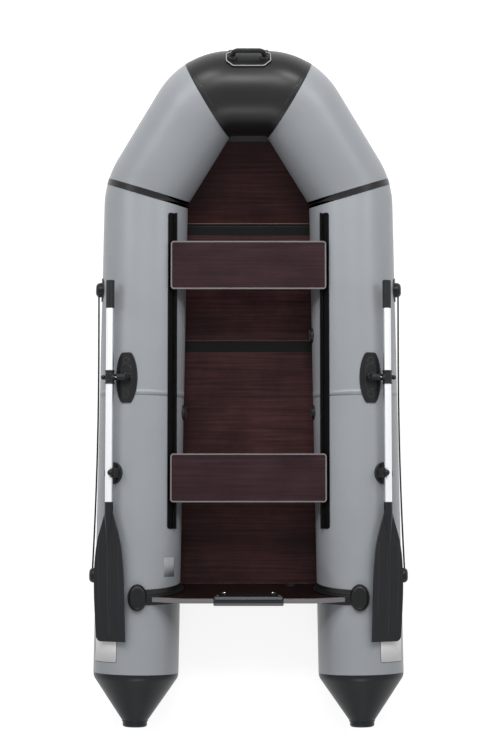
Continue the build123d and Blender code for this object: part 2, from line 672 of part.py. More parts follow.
with BuildPart() as oar_collar:
    with BuildSketch(oar_plane(COLLAR_Y[1])):
        Circle(COLLAR_R)
    extrude(amount=COLLAR_Y[1] - COLLAR_Y[0])
    for forward in COLLAR_GROOVES:
        with BuildSketch(oar_plane(ROWLOCK_Y + forward)):
            Circle(COLLAR_R)
            Circle(COLLAR_GROOVE_R, mode=Mode.SUBTRACT)
        extrude(amount=COLLAR_GROOVE / 2, both=True, mode=Mode.SUBTRACT)
    with BuildSketch(facing(OAR - PIN * (COLLAR_R + COLLAR_BOSS), PIN)):
        Circle(BOSS_R)
    extrude(amount=COLLAR_R + COLLAR_BOSS)
    with BuildSketch(facing(OAR, PIN)):
        Circle(KNOB_R / 2)
    extrude(amount=KNOB_REACH)
    add(oar_pin.part, mode=Mode.SUBTRACT)
    with BuildSketch(oar_plane(COLLAR_Y[1])):
        Circle(SHAFT_R)
    extrude(amount=COLLAR_Y[1] - COLLAR_Y[0], mode=Mode.SUBTRACT)
    with BuildSketch(Plane(origin=OAR + PIN * KNOB_REACH, x_dir=PIN, z_dir=AHEAD)):
        Circle(KNOB_R)
        with Locations((0, -KNOB_R)):
            Rectangle(2 * KNOB_R, 2 * KNOB_R, mode=Mode.SUBTRACT)
    revolve(axis=Axis(OAR + PIN * KNOB_REACH, PIN))
write_pair("oar_collar", oar_collar)

with BuildPart() as oar_shaft:
    with BuildSketch(oar_plane(GRIP_Y[1] - GRIP_CAP)):
        Circle(SHAFT_R)
        Circle(SHAFT_R - SHAFT_WALL, mode=Mode.SUBTRACT)
    extrude(amount=GRIP_Y[1] - GRIP_CAP - BLADE_Y)
write_pair("oar_shaft", oar_shaft)

with BuildPart() as oar_grip:
    with BuildSketch(oar_plane(GRIP_Y[1])):
        Circle(GRIP_R)
    extrude(amount=GRIP_Y[1] - GRIP_Y[0])
    fillet(edges().group_by(Axis.Y)[-1], GRIP_EDGE)
    with BuildSketch(oar_plane(GRIP_Y[1] - GRIP_CAP)):
        with PolarLocations(GRIP_R + FLUTE_R - FLUTE_DEPTH, GRIP_FLUTES):
            Circle(FLUTE_R)
    extrude(amount=GRIP_Y[1] - GRIP_Y[0] - 2 * GRIP_CAP, mode=Mode.SUBTRACT)
    with BuildSketch(oar_plane(GRIP_Y[1] - GRIP_CAP)):
        Circle(SHAFT_R)
    extrude(amount=GRIP_Y[1] - GRIP_Y[0], mode=Mode.SUBTRACT)
write_pair("oar_grip", oar_grip)

# The blade: x runs aft from its neck, y across it, z out of its back. It dips towards the tube like a spoon.
roll = radians(BLADE_ROLL)
blade_face = Plane(origin=(OAR.X, BLADE_Y, OAR.Z), x_dir=(0, -1, 0), z_dir=(-sin(roll), 0, cos(roll)))
blade_side = Plane(origin=blade_face.origin, x_dir=(0, -1, 0), z_dir=blade_face.y_dir * -1)
with BuildPart() as oar_blade:
    with BuildSketch(blade_face):
        with BuildLine():
            neck = Line((BLADE_NECK, 0), (BLADE_NECK, SHAFT_R))
            flare = Spline(neck @ 1, *BLADE_FLARE)
            edge = Line(flare @ 1, (BLADE_LENGTH, BLADE_TIP_WIDTH / 2))
            Line(edge @ 1, (BLADE_LENGTH, 0))
            mirror(about=Plane.XZ)
        make_face()
        fillet(vertices().sort_by(Axis.Y)[:2], BLADE_CORNER)
    extrude(amount=BLADE_DIP * 2, both=True)
    with BuildSketch(blade_side):
        with BuildLine():
            straight = Line((0, 0), (BLADE_SPOON, 0))
            spoon = TangentArc(straight @ 1, (BLADE_LENGTH + 5, -BLADE_DIP), tangent=straight % 1)
            offset(amount=BLADE_T / 2, side=Side.BOTH)
        make_face()
    extrude(amount=BLADE_TIP_WIDTH, both=True, mode=Mode.INTERSECT)
    with BuildSketch(blade_side):
        with BuildLine():
            Polyline(
                (0, 0),
                (0, NECK_R),
                (BLADE_NECK * 2, NECK_R),
                (BLADE_SPOON, BLADE_RIBS[0][1]),
                (BLADE_SPOON, 0),
                close=True,
            )
        make_face()
    revolve(axis=Axis(blade_face.origin, (0, -1, 0)))
    for across, rib_r in BLADE_RIBS:
        rib_side = blade_side.offset(across)
        with BuildLine(rib_side) as rib_line:
            start = Line((BLADE_SPOON - 10, 0), (BLADE_SPOON, 0))
            TangentArc(start @ 1, (BLADE_LENGTH - RIB_END, -BLADE_DIP * RIB_DIP_SHARE), tangent=start % 1)
        with BuildSketch(Plane(origin=rib_side.from_local_coords((BLADE_SPOON - 10, 0, 0)), z_dir=(0, -1, 0))) as rib:
            Circle(rib_r)
        sweep(rib.sketch, path=rib_line.line)
write_pair("oar_blade", oar_blade)

# Rests glued to the tubes: a rimmed pad under the shaft, and inboard of it a post whose ball keeps the shaft in
REST = on_port_tube(REST_Y, REST_TILT, forward=AHEAD)
across_rest = Plane(origin=(OAR.X, REST_Y, OAR.Z), x_dir=PIN * -1, z_dir=AHEAD * -1)
with BuildPart() as rest_rim:
    with BuildSketch(REST):
        Ellipse(REST_LENGTH / 2 - REST_RIM_INSET, REST_WIDTH / 2 - REST_RIM_INSET)
        Ellipse(REST_LENGTH / 2 - REST_RIM, REST_WIDTH / 2 - REST_RIM, mode=Mode.SUBTRACT)
        Rectangle(REST_LENGTH, REST_WIDTH, align=(Align.CENTER, Align.MAX), mode=Mode.INTERSECT)
    extrude(amount=TUBE_R / 2, both=True)
    trim_to_layer(REST_RIM_H)

with BuildPart() as oar_rest:
    with BuildSketch(REST):
        Ellipse(REST_LENGTH / 2, REST_WIDTH / 2)
        Rectangle(REST_TAB_LENGTH, REST_TAB_REACH, align=(Align.CENTER, Align.MIN))
    extrude(amount=TUBE_R / 2, both=True)
    trim_to_layer(REST_T)
    add(rest_rim.part)
    with BuildSketch(across_rest):
        with BuildLine():
            Polyline(
                (-SADDLE_HALF - 4, -TUBE_R / 2),
                (-SADDLE_HALF, -SHAFT_R - REST_GAP),
                (POST_X[0], -SHAFT_R - REST_GAP),
                (POST_X[0], BALL[1]),
                (POST_X[1], BALL[1]),
                (POST_X[1] + 4, -TUBE_R / 2),
                close=True,
            )
        make_face()
        Circle(SHAFT_R + REST_GAP, mode=Mode.SUBTRACT)
    extrude(amount=SADDLE_LENGTH / 2, both=True)
    clear_of_tubes(side_tube)
    with Locations(Plane(origin=across_rest.from_local_coords((*BALL, 0)), z_dir=AHEAD)):
        Sphere(BALL_R)
write_pair("oar_rest", oar_rest)

# ---------------------------------------------------------------- grab lines

LINE = [Vector(x, y, z) for x, y, z in GRAB_LINE]
runs = [(b - a).length for a, b in zip(LINE, LINE[1:])]
turns = [(b - a).get_angle(c - b) for a, b, c in zip(LINE, LINE[1:], LINE[2:])]
bends = [LINE_FILL * min(pair) / tan(radians(turn / 2)) for *pair, turn in zip(runs, runs[1:], turns)]
print("grab line radii", [round(bend) for bend in bends])
with BuildPart() as grab_line:
    with BuildLine() as route:
        FilletPolyline(*LINE, radius=bends)
    with BuildSketch(Plane(origin=LINE[0], z_dir=LINE[1] - LINE[0])):
        Circle(ROPE_D / 2)
    sweep()
length = sum(edge.length for edge in route.edges())
print("grab line volume", round(grab_line.part.volume), "of", round(length * pi * ROPE_D**2 / 4))
write_pair("grab_line", grab_line)

# The port line is tied inside the domes of two eyes glued to the tube.
for name, y in EYE_Y.items():
    seat = on_port_tube(y, EYE_TILT)
    with BuildPart() as rope_eye:
        with BuildSketch(seat):
            Ellipse(EYE_LENGTH / 2, EYE_WIDTH / 2)
        extrude(amount=TUBE_R / 2, both=True)
        trim_to_layer(EYE_T)
        with BuildSketch(seat):
            Circle(EYE_DOME_R)
        extrude(amount=EYE_H)
        fillet(faces().sort_by(Axis(seat.origin, seat.z_dir))[-1].edges(), EYE_EDGE)
        clear_of_tubes(side_tube)
        add(grab_line.part, mode=Mode.SUBTRACT)
    write_pair(f"rope_eye_{name}", rope_eye)

# ---------------------------------------------------------------- bow handle and air valves

lean = radians(HANDLE_TILT)
out = Vector(0, sin(lean), cos(lean))
BOW_MIDDLE = (BOW_PORT + BOW_STARBOARD) / 2
HANDLE = Plane(origin=BOW_MIDDLE + out * TUBE_R, x_dir=(1, 0, 0), z_dir=out)
with BuildPart() as handle_rim:
    with BuildSketch(HANDLE):
        Rectangle(HANDLE_LENGTH, HANDLE_WIDTH)
        chamfer(vertices(), HANDLE_CORNER)
        fillet(vertices(), HANDLE_CORNER / 2)
        offset(amount=-HANDLE_RIM, mode=Mode.SUBTRACT)
    extrude(amount=TUBE_R / 2, both=True)
    trim_to_layer(HANDLE_RIM_H, BOW_PORT, BOW_STARBOARD)

with BuildPart() as bow_handle:
    with BuildSketch(HANDLE):
        Rectangle(HANDLE_LENGTH, HANDLE_WIDTH)
        chamfer(vertices(), HANDLE_CORNER)
        fillet(vertices(), HANDLE_CORNER / 2)
    extrude(amount=TUBE_R / 2, both=True)
    trim_to_layer(HANDLE_T, BOW_PORT, BOW_STARBOARD)
    add(handle_rim.part)
    with BuildSketch(HANDLE):
        with Locations((-HANDLE_FOOT_X, 0), (HANDLE_FOOT_X, 0)):
            Circle(HANDLE_FOOT_R)
    feet = extrude(amount=HANDLE_FOOT_H)
    chamfer(feet.faces().sort_by(Axis(HANDLE.origin, HANDLE.z_dir))[-2:].edges(), HANDLE_FOOT_EDGE)
    with BuildLine(Plane(origin=HANDLE.origin, x_dir=(1, 0, 0), z_dir=HANDLE.y_dir * -1)):
        FilletPolyline(
            (-HANDLE_FOOT_X, 0),
            (-HANDLE_FOOT_X, HANDLE_H),
            (HANDLE_FOOT_X, HANDLE_H),
            (HANDLE_FOOT_X, 0),
            radius=HANDLE_BEND,
        )
    with BuildSketch(Plane(origin=HANDLE.origin - HANDLE.x_dir * HANDLE_FOOT_X, z_dir=out)):
        Circle(HANDLE_GRIP_R)
    sweep()
    clear_of_tubes(bow_centre, bow_tube, bow_tube_starboard)
write("bow_handle", bow_handle)


def air_valve(y):
    """Screw-in valve in the port tube's inner flank: a flange, a cap and the finger ribs across it."""
    place = on_port_tube(y, -VALVE_TILT)
    with BuildPart() as valve:
        with BuildSketch(place.offset(-VALVE_DEPTH)):
            Circle(VALVE_R)
        extrude(amount=VALVE_DEPTH + VALVE_T)
        with BuildSketch(place.offset(VALVE_T)):
            Circle(VALVE_CAP_R)
        cap = extrude(amount=VALVE_CAP_T)
        chamfer(cap.edges().sort_by(Axis(place.origin, place.z_dir))[-1], VALVE_CAP_EDGE)
        with BuildSketch(place.offset(VALVE_T + VALVE_CAP_T)):
            reach = 2 * (VALVE_CAP_R - VALVE_CAP_EDGE)
            Rectangle(reach, VALVE_RIB)
            Rectangle(VALVE_RIB, reach)
        extrude(amount=VALVE_RIB)
        clear_of_tubes(side_tube)
    return valve


write_pair("air_valve", air_valve(VALVE_Y["side"]))

# The bow tubes' valve is on the starboard side.
with BuildPart() as air_valve_bow:
    mirror(air_valve(VALVE_Y["bow"]).part, about=Plane.YZ)
write("air_valve_bow", air_valve_bow)
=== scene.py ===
from math import cos, pi, radians, sin, sqrt, tan

import bmesh
import bpy
from mathutils import Matrix, Vector


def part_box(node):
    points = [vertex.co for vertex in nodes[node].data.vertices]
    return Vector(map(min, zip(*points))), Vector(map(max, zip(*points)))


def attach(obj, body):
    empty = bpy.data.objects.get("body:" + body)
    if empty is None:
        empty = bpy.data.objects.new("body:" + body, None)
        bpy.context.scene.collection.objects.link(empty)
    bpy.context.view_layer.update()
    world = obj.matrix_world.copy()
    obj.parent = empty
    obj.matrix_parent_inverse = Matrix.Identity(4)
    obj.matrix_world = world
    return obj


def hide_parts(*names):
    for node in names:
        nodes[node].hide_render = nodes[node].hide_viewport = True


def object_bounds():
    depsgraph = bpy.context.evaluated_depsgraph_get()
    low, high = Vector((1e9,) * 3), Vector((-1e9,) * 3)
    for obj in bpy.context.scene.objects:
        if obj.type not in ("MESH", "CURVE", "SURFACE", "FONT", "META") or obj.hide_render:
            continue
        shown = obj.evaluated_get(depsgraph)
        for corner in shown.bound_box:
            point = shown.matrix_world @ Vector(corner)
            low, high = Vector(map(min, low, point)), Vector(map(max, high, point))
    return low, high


# Inflatable motor dinghy, dressed: coated-fabric air tubes, film-faced plywood, moulded fittings, oars and ropes.
# Metres. +X is starboard, +Y the bow, +Z up. Port pieces are made first and mirrored to starboard.

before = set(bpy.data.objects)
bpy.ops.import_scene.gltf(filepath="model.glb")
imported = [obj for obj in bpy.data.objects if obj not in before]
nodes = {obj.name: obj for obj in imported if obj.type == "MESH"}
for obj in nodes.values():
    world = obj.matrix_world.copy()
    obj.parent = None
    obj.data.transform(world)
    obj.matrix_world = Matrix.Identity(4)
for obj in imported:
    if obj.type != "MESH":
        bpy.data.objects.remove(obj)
cad_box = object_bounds()
scene = bpy.context.scene
MM = 0.001

# ---------------------------------------------------------------- camera

camera = bpy.data.objects.new("camera", bpy.data.cameras.new("camera"))
scene.collection.objects.link(camera)
camera.location = (0, -0.6349, 8.257)
camera.rotation_euler = (radians(5), 0, 0)
camera.data.lens = 87
camera.data.sensor_width = 36
scene.camera = camera

# ---------------------------------------------------------------- small tools


def linear(hex_colour):
    """Linear RGBA of an sRGB colour such as "#96999c"."""
    channels = [int(hex_colour[i : i + 2], 16) / 255 for i in (1, 3, 5)]
    return [c / 12.92 if c <= 0.04045 else ((c + 0.055) / 1.055) ** 2.4 for c in channels] + [1]


def add(tree, kind, inputs=None, **settings):
    """Adds a node. Each input is a value, or a socket of another node to link from."""
    node = tree.nodes.new(kind)
    for name, value in settings.items():
        setattr(node, name, value)
    for socket, value in (inputs or {}).items():
        if isinstance(value, bpy.types.NodeSocket):
            tree.links.new(value, node.inputs[socket])
        else:
            node.inputs[socket].default_value = value
    return node


def new_material(name, slot, **surface):
    """Material with its Principled shader's own sockets set. slot is the record's slot that it finishes."""
    material = bpy.data.materials.new(name)
    material.use_nodes = True
    material["slot"] = slot
    shader = material.node_tree.nodes["Principled BSDF"]
    for socket, value in surface.items():
        shader.inputs[socket.replace("_", " ")].default_value = value
    return material, material.node_tree, shader


def mesh_through(name, rings, closed=True, capped=False):
    """Mesh through rings of points, with a UV map in metres: u along the rings' row, v round each ring."""
    count = len(rings[0])
    wrap = count if closed else count - 1
    faces = [
        (i * count + j, i * count + (j + 1) % count, (i + 1) * count + (j + 1) % count, (i + 1) * count + j)
        for i in range(len(rings) - 1)
        for j in range(wrap)
    ]
    if capped:
        faces.append(tuple(reversed(range(count))))
        faces.append(tuple(range((len(rings) - 1) * count, len(rings) * count)))
    mesh = bpy.data.meshes.new(name)
    mesh.from_pydata([tuple(p) for ring in rings for p in ring], [], faces)
    along = [0]
    for before, after in zip(rings, rings[1:]):
        along.append(along[-1] + (Vector(after[0]) - Vector(before[0])).length)
    uv = mesh.uv_layers.new(name="metres")
    spacing = (Vector(rings[0][1]) - Vector(rings[0][0])).length
    for polygon in mesh.polygons:
        for corner in polygon.loop_indices:
            vertex = mesh.loops[corner].vertex_index
            i, j = divmod(vertex, count)
            if closed and j == 0 and polygon.vertices[0] % count == count - 1:
                j = count
            uv.data[corner].uv = (along[i], j * spacing)
    tidy_normals(mesh)
    return mesh


def tidy_normals(mesh):
    """Turns every face outwards."""
    work = bmesh.new()
    work.from_mesh(mesh)
    bmesh.ops.recalc_face_normals(work, faces=work.faces)
    work.to_mesh(mesh)
    work.free()


def piece(name, mesh, material, body="hull", stands_for=(), crease=40):
    """Object that rides on a body, and stands for the CAD nodes named."""
    for polygon in mesh.polygons:
        polygon.use_smooth = True
    mesh.set_sharp_from_angle(angle=radians(crease))
    made = bpy.data.objects.new(name, mesh)
    scene.collection.objects.link(made)
    made.data.materials.append(material)
    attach(made, body)
    if stands_for:
        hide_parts(*stands_for)
    return made


def pair(name, mesh, material, body="hull", stands_for=(), crease=40):
    """The port piece and its mirror image. Names of bodies and nodes that come in pairs end in an underscore."""
    other = mesh.copy()
    other.transform(Matrix.Scale(-1, 4, (1, 0, 0)))
    other.flip_normals()
    for side, shape in (("left", mesh), ("right", other)):
        ride = body + side if body.endswith("_") else body
        stood = [node + side if node.endswith("_") else node for node in stands_for]
        piece(f"{name}_{side}", shape, material, ride, stood, crease)


# ---------------------------------------------------------------- where things are

TUBE_R = 0.1885
STERN_X, STERN_Y = 0.499, -1.262
KNEE_X, KNEE_Y = 0.463, 0.889
BOW_X, BOW_RISE = 0.1845, 0.1515
BOW_Y = cad_box[1][1] - TUBE_R
BEND_R = 0.195
SEAM_WIDTH = 0.029
UP = Vector((0, 0, 1))


def tube_x(y):
    """Distance of a side tube's centreline from the middle of the boat, at y."""
    return KNEE_X + (STERN_X - KNEE_X) * (KNEE_Y - y) / (KNEE_Y - STERN_Y)


STERN = Vector((-STERN_X, STERN_Y, TUBE_R))
KNEE = Vector((-KNEE_X, KNEE_Y, TUBE_R))
BOW_PORT = Vector((-BOW_X, BOW_Y, TUBE_R + BOW_RISE))
BOW_STARBOARD = Vector((BOW_X, BOW_Y, TUBE_R + BOW_RISE))
AFT = (STERN - KNEE).normalized()


class Turn:
    """Arc that rounds one corner of the centreline."""

    def __init__(self, before, corner, after):
        into = (corner - before).normalized()
        out = (after - corner).normalized()
        self.angle = into.angle(out)
        reach = BEND_R * tan(self.angle / 2)
        self.start = corner - into * reach
        self.end = corner + out * reach
        self.centre = corner + (out - into).normalized() * (BEND_R / cos(self.angle / 2))
        self.axis = into.cross(out).normalized()

    def at(self, share):
        """Point and direction on the arc, where share runs from 0 at its start to 1 at its end."""
        spoke = Matrix.Rotation(self.angle * share, 3, self.axis) @ (self.start - self.centre)
        return self.centre + spoke, self.axis.cross(spoke).normalized()

    def stations(self, first, last, count):
        return [self.at(first + (last - first) * i / count) for i in range(count + 1)]


def straight(start, end, count):
    """Stations along a straight stretch, without its ends."""
    direction = (end - start).normalized()
    return [(start.lerp(end, i / count), direction) for i in range(1, count)]


knee = Turn(STERN, KNEE, BOW_PORT)
shoulder = Turn(KNEE, BOW_PORT, BOW_STARBOARD)

ROUND = 112                          # points round a tube


def ring(station, radius, first=0.0, last=360.0, count=ROUND):
    """Points round a station of the centreline, from first to last degrees outboard of its top."""
    centre, direction = station
    up = (UP - direction * UP.dot(direction)).normalized()
    out = up.cross(direction)
    full = last - first >= 360
    steps = count if full else count - 1
    turns = [radians(first + (last - first) * i / steps) for i in range(count)]
    return [centre + (up * cos(t) + out * sin(t)) * radius for t in turns]


# ---------------------------------------------------------------- materials
# Specular_IOR_Level below 0.5 is painted shade on what these blacks mirror: it dims their reflection of the white
# surroundings, as dark studio walls would.


def coated_fabric(name, slot, dark, light, roughness, **surface):
    """PVC-coated polyester, calendered: a satin skin with the cloth's threads just showing through it.
    Threads are about 1 mm apart, and are drawn at 2.4 mm so that they show."""
    material, tree, shader = new_material(name, slot, IOR=1.53, **surface)
    where = add(tree, "ShaderNodeTexCoord")
    cloud = add(tree, "ShaderNodeTexNoise", {"Vector": where.outputs["Object"], "Scale": 4.0, "Detail": 4.0})
    colour = {"Factor": cloud.outputs["Fac"], "A": linear(dark), "B": linear(light)}
    colour = add(tree, "ShaderNodeMix", colour, data_type="RGBA")
    tree.links.new(colour.outputs["Result"], shader.inputs["Base Color"])
    rough = {"Value": cloud.outputs["Fac"], "To Min": roughness - 0.05, "To Max": roughness + 0.07}
    rough = add(tree, "ShaderNodeMapRange", rough)
    tree.links.new(rough.outputs["Result"], shader.inputs["Roughness"])
    threads = [
        add(
            tree,
            "ShaderNodeTexWave",
            {"Vector": where.outputs["UV"], "Scale": 2 * pi / (20 * 2.4 * MM), "Distortion": 0.4},
            bands_direction=direction,
        )
        for direction in ("X", "Y")
    ]
    weave = {0: threads[0].outputs["Fac"], 1: threads[1].outputs["Fac"]}
    weave = add(tree, "ShaderNodeMath", weave, operation="MULTIPLY")
    swell = add(tree, "ShaderNodeTexNoise", {"Vector": where.outputs["Object"], "Scale": 7.0, "Detail": 2.0})
    soft = {"Height": swell.outputs["Fac"], "Strength": 0.35, "Distance": 4 * MM}
    soft = add(tree, "ShaderNodeBump", soft)
    fine = {"Height": weave.outputs["Value"], "Strength": 0.25, "Distance": 0.15 * MM}
    fine = add(tree, "ShaderNodeBump", {**fine, "Normal": soft.outputs["Normal"]})
    tree.links.new(fine.outputs["Normal"], shader.inputs["Normal"])
    return material


def moulded(name, slot, dark, light, roughness, grit, depth, edge=1.2, wear_and_highlight=0.35, **surface):
    """Moulded plastic or rubber: a colour that drifts a little, a spark-eroded grain of grit millimetres,
    and edges rounded to edge millimetres, which are painted paler: partly rubbed wear, partly a painted highlight
    along them."""
    material, tree, shader = new_material(name, slot, **surface)
    where = add(tree, "ShaderNodeTexCoord").outputs["Object"]
    drift = add(tree, "ShaderNodeTexNoise", {"Vector": where, "Scale": 14.0, "Detail": 5.0})
    colour = {"Factor": drift.outputs["Fac"], "A": linear(dark), "B": linear(light)}
    colour = add(tree, "ShaderNodeMix", colour, data_type="RGBA")
    rough = {"Value": drift.outputs["Fac"], "To Min": roughness - 0.08, "To Max": roughness + 0.1}
    rough = add(tree, "ShaderNodeMapRange", rough)
    tree.links.new(rough.outputs["Result"], shader.inputs["Roughness"])
    rounding = add(tree, "ShaderNodeBevel", {"Radius": edge * MM}, samples=6)
    facing = add(tree, "ShaderNodeNewGeometry").outputs["Normal"]
    turned = {0: rounding.outputs["Normal"], 1: facing}
    turned = add(tree, "ShaderNodeVectorMath", turned, operation="DOT_PRODUCT")
    # Convex edges are painted paler: rubbed wear together with a painted highlight along each edge.
    worn_and_highlit_edge = {"Value": turned.outputs["Value"], "From Min": 0.99, "From Max": 0.85, "To Max": wear_and_highlight}
    worn_and_highlit_edge = add(tree, "ShaderNodeMapRange", worn_and_highlit_edge)
    edge_wear_and_highlight = {"Factor": worn_and_highlit_edge.outputs["Result"], "A": colour.outputs["Result"], "B": linear("#8c8d90")}
    edge_wear_and_highlight = add(tree, "ShaderNodeMix", edge_wear_and_highlight, data_type="RGBA")
    tree.links.new(edge_wear_and_highlight.outputs["Result"], shader.inputs["Base Color"])
    grain = add(tree, "ShaderNodeTexNoise", {"Vector": where, "Scale": 1 / (grit * MM), "Detail": 2.0})
    bump = {"Height": grain.outputs["Fac"], "Strength": 0.4, "Distance": depth * MM}
    bump = add(tree, "ShaderNodeBump", {**bump, "Normal": rounding.outputs["Normal"]})
    tree.links.new(bump.outputs["Normal"], shader.inputs["Normal"])
    return material


def film_faced_ply(name, slot, dark, light, roughness, film="Z", cut=("#5e3f22", "#a98552"), **surface):
    """Birch plywood pressed with a dark phenolic film, printed by a wire mesh so that it grips. The mesh is 2 mm,
    and is drawn at 5 mm. film is the axis that the film looks along. The other faces are cut edges, which show
    the veneers, 1.4 mm each, in the two colours of cut. The face veneer's grain, drawn out across the boat,
    telegraphs through the film."""
    material, tree, shader = new_material(name, slot, IOR=1.55, **surface)
    where = add(tree, "ShaderNodeTexCoord").outputs["Object"]
    cloud = {"Vector": where, "Scale": 5.0, "Detail": 6.0, "Roughness": 0.6}
    cloud = add(tree, "ShaderNodeTexNoise", cloud)
    along = add(tree, "ShaderNodeMapping", {"Vector": where, "Scale": (3, 90, 90)})
    grain = add(tree, "ShaderNodeTexNoise", {"Vector": along.outputs["Vector"], "Scale": 1.0, "Detail": 3.0})
    tone = {0: cloud.outputs["Fac"], 1: grain.outputs["Fac"]}
    tone = add(tree, "ShaderNodeMath", tone, operation="MULTIPLY")
    tone = add(tree, "ShaderNodeMapRange", {"Value": tone.outputs["Value"], "From Min": 0.12, "From Max": 0.38})
    pressed = {"Factor": tone.outputs["Result"], "A": linear(dark), "B": linear(light)}
    pressed = add(tree, "ShaderNodeMix", pressed, data_type="RGBA")
    veneers = {"Vector": where, "Scale": 2 * pi / (20 * 2.8 * MM), "Distortion": 0.6}
    veneers = add(tree, "ShaderNodeTexWave", veneers, bands_direction=film)
    edges = {"Factor": veneers.outputs["Fac"], "A": linear(cut[0]), "B": linear(cut[1])}
    edges = add(tree, "ShaderNodeMix", edges, data_type="RGBA")
    facing = add(tree, "ShaderNodeNewGeometry").outputs["True Normal"]
    across = add(tree, "ShaderNodeSeparateXYZ", {"Vector": facing}).outputs[film]
    flat = add(tree, "ShaderNodeMath", {0: across}, operation="ABSOLUTE").outputs["Value"]
    is_edge = add(tree, "ShaderNodeMath", {0: flat, 1: 0.6}, operation="LESS_THAN").outputs["Value"]
    colour = {"Factor": is_edge, "A": pressed.outputs["Result"], "B": edges.outputs["Result"]}
    colour = add(tree, "ShaderNodeMix", colour, data_type="RGBA")
    tree.links.new(colour.outputs["Result"], shader.inputs["Base Color"])
    rough = {"Value": cloud.outputs["Fac"], "To Min": roughness - 0.06, "To Max": roughness + 0.1}
    rough = add(tree, "ShaderNodeMapRange", rough)
    tree.links.new(rough.outputs["Result"], shader.inputs["Roughness"])
    mesh = {"Vector": where, "Scale": 2 * pi / (20 * 5 * MM)}
    wires = [
        add(tree, "ShaderNodeTexWave", mesh, bands_direction=axis).outputs["Fac"]
        for axis in "XYZ"
        if axis != film
    ]
    mesh_print = add(tree, "ShaderNodeMath", {0: wires[0], 1: wires[1]}, operation="MAXIMUM")
    bump = {"Height": mesh_print.outputs["Value"], "Strength": 0.3, "Distance": 0.2 * MM}
    bump = add(tree, "ShaderNodeBump", bump)
    tree.links.new(bump.outputs["Normal"], shader.inputs["Normal"])
    return material


def drawn_metal(name, slot, dark, light, roughness, stretch):
    """Metal with the fine lines of drawing or turning, which spread its highlights across them."""
    material, tree, shader = new_material(name, slot, Metallic=1.0)
    where = add(tree, "ShaderNodeTexCoord").outputs["Object"]
    long = add(tree, "ShaderNodeMapping", {"Vector": where, "Scale": stretch})
    lines = add(tree, "ShaderNodeTexNoise", {"Vector": long.outputs["Vector"], "Scale": 1.0, "Detail": 3.0})
    colour = {"Factor": lines.outputs["Fac"], "A": linear(dark), "B": linear(light)}
    colour = add(tree, "ShaderNodeMix", colour, data_type="RGBA")
    tree.links.new(colour.outputs["Result"], shader.inputs["Base Color"])
    rough = {"Value": lines.outputs["Fac"], "To Min": roughness - 0.06, "To Max": roughness + 0.08}
    rough = add(tree, "ShaderNodeMapRange", rough)
    tree.links.new(rough.outputs["Result"], shader.inputs["Roughness"])
    bump = add(tree, "ShaderNodeBump", {"Height": lines.outputs["Fac"], "Strength": 0.1, "Distance": 0.1 * MM})
    tree.links.new(bump.outputs["Normal"], shader.inputs["Normal"])
    return material


def twisted_rope(name, slot):
    """Black polypropylene rope with a few dull red yarns in it."""
    material, tree, shader = new_material(name, slot, Sheen_Weight=0.15, Roughness=0.7, Specular_IOR_Level=0.25)
    where = add(tree, "ShaderNodeTexCoord").outputs["Object"]
    yarn = add(tree, "ShaderNodeTexNoise", {"Vector": where, "Scale": 180.0, "Detail": 2.0})
    colour = {"Factor": yarn.outputs["Fac"], "A": linear("#070708"), "B": linear("#2b2025")}
    colour = add(tree, "ShaderNodeMix", colour, data_type="RGBA")
    tree.links.new(colour.outputs["Result"], shader.inputs["Base Color"])
    bump = add(tree, "ShaderNodeBump", {"Height": yarn.outputs["Fac"], "Strength": 0.4, "Distance": 0.3 * MM})
    tree.links.new(bump.outputs["Normal"], shader.inputs["Normal"])
    return material


# Painted shade in reflections: lowered specular levels for the dark pieces.
SHADED_REFLECTION = {"Specular_IOR_Level": 0.22}
DEEP_SHADED_REFLECTION = {"Specular_IOR_Level": 0.08}
grey_pvc = coated_fabric("grey_coated_polyester", "pvc_grey", "#8d9196", "#989ba0", 0.36)
black_pvc = coated_fabric("black_coated_polyester", "pvc_black", "#0c0c0e", "#151517", 0.33, Specular_IOR_Level=0.3)
cone_pvc = moulded("moulded_pvc_cone", "cone_black", "#0f1216", "#161a20", 0.34, 1.2, 0.05, IOR=1.53, **SHADED_REFLECTION)
floor_ply = film_faced_ply("film_faced_birch_floor", "anti_slip_ply", "#201011", "#432829", 0.36, **DEEP_SHADED_REFLECTION)
seat_ply = film_faced_ply("film_faced_birch_seat", "seat_ply", "#26171b", "#38262b", 0.45, **DEEP_SHADED_REFLECTION)
LACQUERED, GREY_CORE = ("#2b2c2f", "#37383c"), ("#5a5b5e", "#727376")
transom_ply = film_faced_ply(
    "film_faced_birch_transom", "transom_ply", "#0c0505", "#180b0b", 0.4, film="Y", cut=LACQUERED, **DEEP_SHADED_REFLECTION
)
plate_board = film_faced_ply(
    "laminated_motor_plate", "black_plastic", "#0c0a0b", "#161314", 0.4, film="Y", cut=GREY_CORE, **DEEP_SHADED_REFLECTION
)
grey_trim = moulded("grey_edge_tape", "grey_edging", "#686566", "#797577", 0.4, 0.8, 0.05, 0.5, IOR=1.5)
nylon = moulded("glass_filled_nylon", "black_plastic", "#131416", "#1d1e21", 0.32, 1.0, 0.06, 1.6, IOR=1.53, **SHADED_REFLECTION)
rubber = moulded("moulded_rubber", "black_rubber", "#0b0c0d", "#151618", 0.34, 1.0, 0.08, 1.6, IOR=1.52, **SHADED_REFLECTION)
rail_pvc = moulded("extruded_pvc_rail", "rail_black", "#020202", "#060607", 0.5, 0.8, 0.05, IOR=1.53, **DEEP_SHADED_REFLECTION)
hinge_pvc = coated_fabric("glossy_hinge_band", "pvc_black", "#030404", "#080909", 0.3, Specular_IOR_Level=0.1)
white_vinyl = moulded("printed_vinyl_label", "pvc_grey", "#f2f2f4", "#fafafb", 0.35, 1.0, 0.02, 0.2, IOR=1.5)
